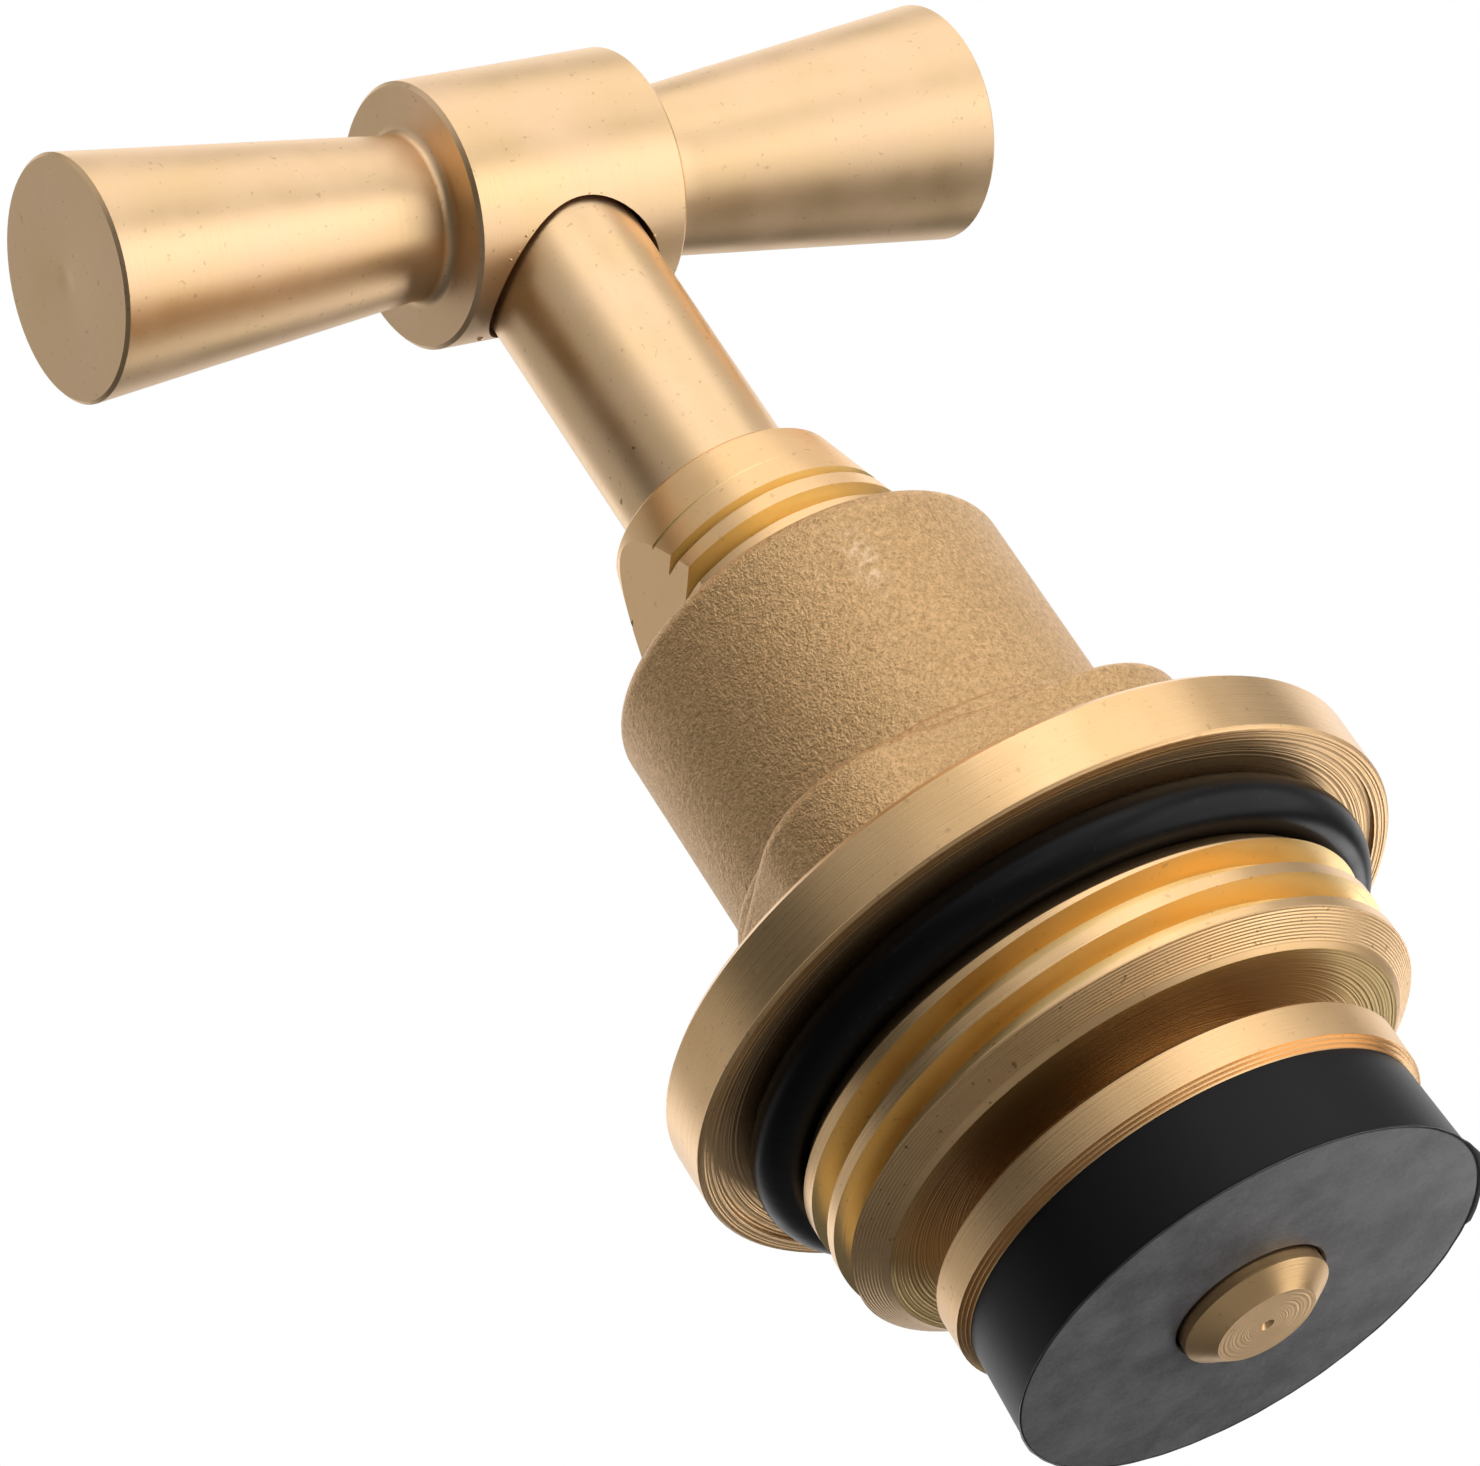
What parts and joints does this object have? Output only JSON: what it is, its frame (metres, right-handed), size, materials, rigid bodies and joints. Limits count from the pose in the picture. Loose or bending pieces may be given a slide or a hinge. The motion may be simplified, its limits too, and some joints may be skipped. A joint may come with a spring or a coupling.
{
  "type": "tap headgear",
  "caption": "Brass headgear of a bib tap: cast bonnet with flange and body thread, screw gland, rising spindle with tee bar handle, jumper valve and rubber washer.",
  "frame": {"origin": "on the spindle axis, at the upper end of the body thread, below the flange", "axes": "+Z along the spindle towards the handle, +X and +Y square to the faces of the spanner block"},
  "size_m": [0.0464, 0.0326, 0.0708],
  "materials": {
    "cast_brass": "sand-cast, turned on flange and thread",
    "turned_brass": "turned, satin",
    "black_rubber": "smooth",
    "washer_rubber": "matte",
    "packing": "matte",
    "steel": "drawn"
  },
  "bodies": {
    "bonnet_body": {"bonnet": "cast_brass", "flange_o_ring": "black_rubber", "gland_packing": "packing", "gland_washer": "turned_brass", "gland_screw": "turned_brass"},
    "jumper_body": {"jumper_valve": "turned_brass", "jumper_snap_ring": "steel", "valve_washer": "washer_rubber"},
    "spindle_body": {"spindle": "turned_brass", "tee_handle": "turned_brass", "handle_pin": "steel"}
  },
  "joints": [
    {"name": "valve_lift", "type": "slide", "parent": "bonnet_body", "child": "jumper_body", "axis": [0, 0, 1], "range_m": [-0.0045, 0.00125]},
    {"name": "spindle_turn", "type": "hinge", "parent": "jumper_body", "child": "spindle_body", "pos_m": [0, 0, 0], "axis": [0, 0, 1], "range_deg": [-648, 180]}
  ],
  "couplings": [
    {"joint": "valve_lift", "follows": "spindle_turn", "m_per_rad": 0.00039789}
  ]
}
